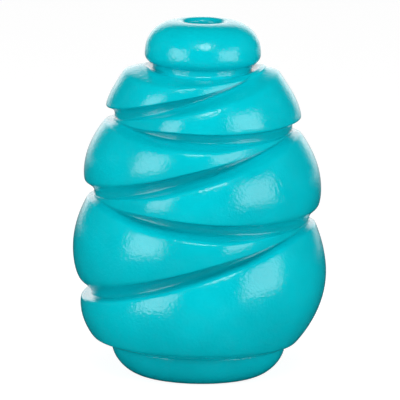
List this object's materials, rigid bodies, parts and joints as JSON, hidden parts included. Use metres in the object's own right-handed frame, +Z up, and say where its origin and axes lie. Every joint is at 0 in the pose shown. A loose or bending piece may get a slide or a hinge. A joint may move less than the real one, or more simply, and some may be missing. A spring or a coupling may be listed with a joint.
{
  "type": "rubber chew toy",
  "caption": "Hollow rubber chew toy for dogs, a beehive of swelling bands with slanting grooves, a treat hole in the top and a push-in plug as its foot.",
  "frame": {"origin": "centre of the foot's flat underside, on the toy's axis", "axes": "+Z up along the toy's axis to the treat hole, -Y towards the viewer of the picture, +X to the viewer's right"},
  "size_m": [0.0704, 0.069, 0.0997],
  "materials": {
    "turquoise_rubber": "gloss"
  },
  "bodies": {
    "toy": {"rubber_body": "turquoise_rubber"},
    "plug": {"base_plug": "turquoise_rubber"}
  },
  "joints": [
    {"name": "plug_pull", "type": "slide", "parent": "toy", "child": "plug", "axis": [0, 0, -1], "range_m": [0, 0.03]}
  ]
}
